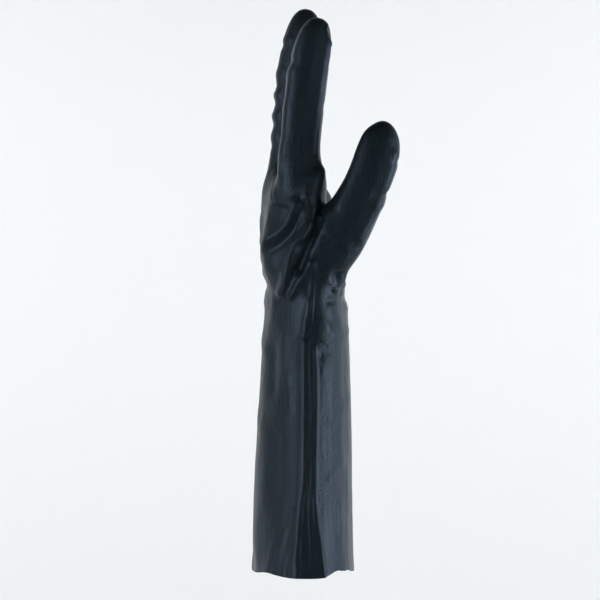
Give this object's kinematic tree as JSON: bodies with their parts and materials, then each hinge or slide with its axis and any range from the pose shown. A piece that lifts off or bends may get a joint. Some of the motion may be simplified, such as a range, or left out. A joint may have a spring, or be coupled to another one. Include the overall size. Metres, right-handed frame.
{
  "type": "chemical-resistant glove",
  "caption": "Long-cuffed left-hand glove of black dipped rubber, open at the cuff, that keeps chemicals off the hand and forearm.",
  "frame": {"origin": "middle of the cuff's mouth, in the plane of its hem, where the hand goes in", "axes": "+Z from the cuff's mouth to the fingertips, +X towards the palm's side, -X the back of the hand, -Y the thumb's side"},
  "size_m": [0.0928, 0.1148, 0.3549],
  "materials": {
    "rubber": "satin"
  },
  "bodies": {
    "root": {"glove_shell": "rubber"}
  },
  "joints": []
}
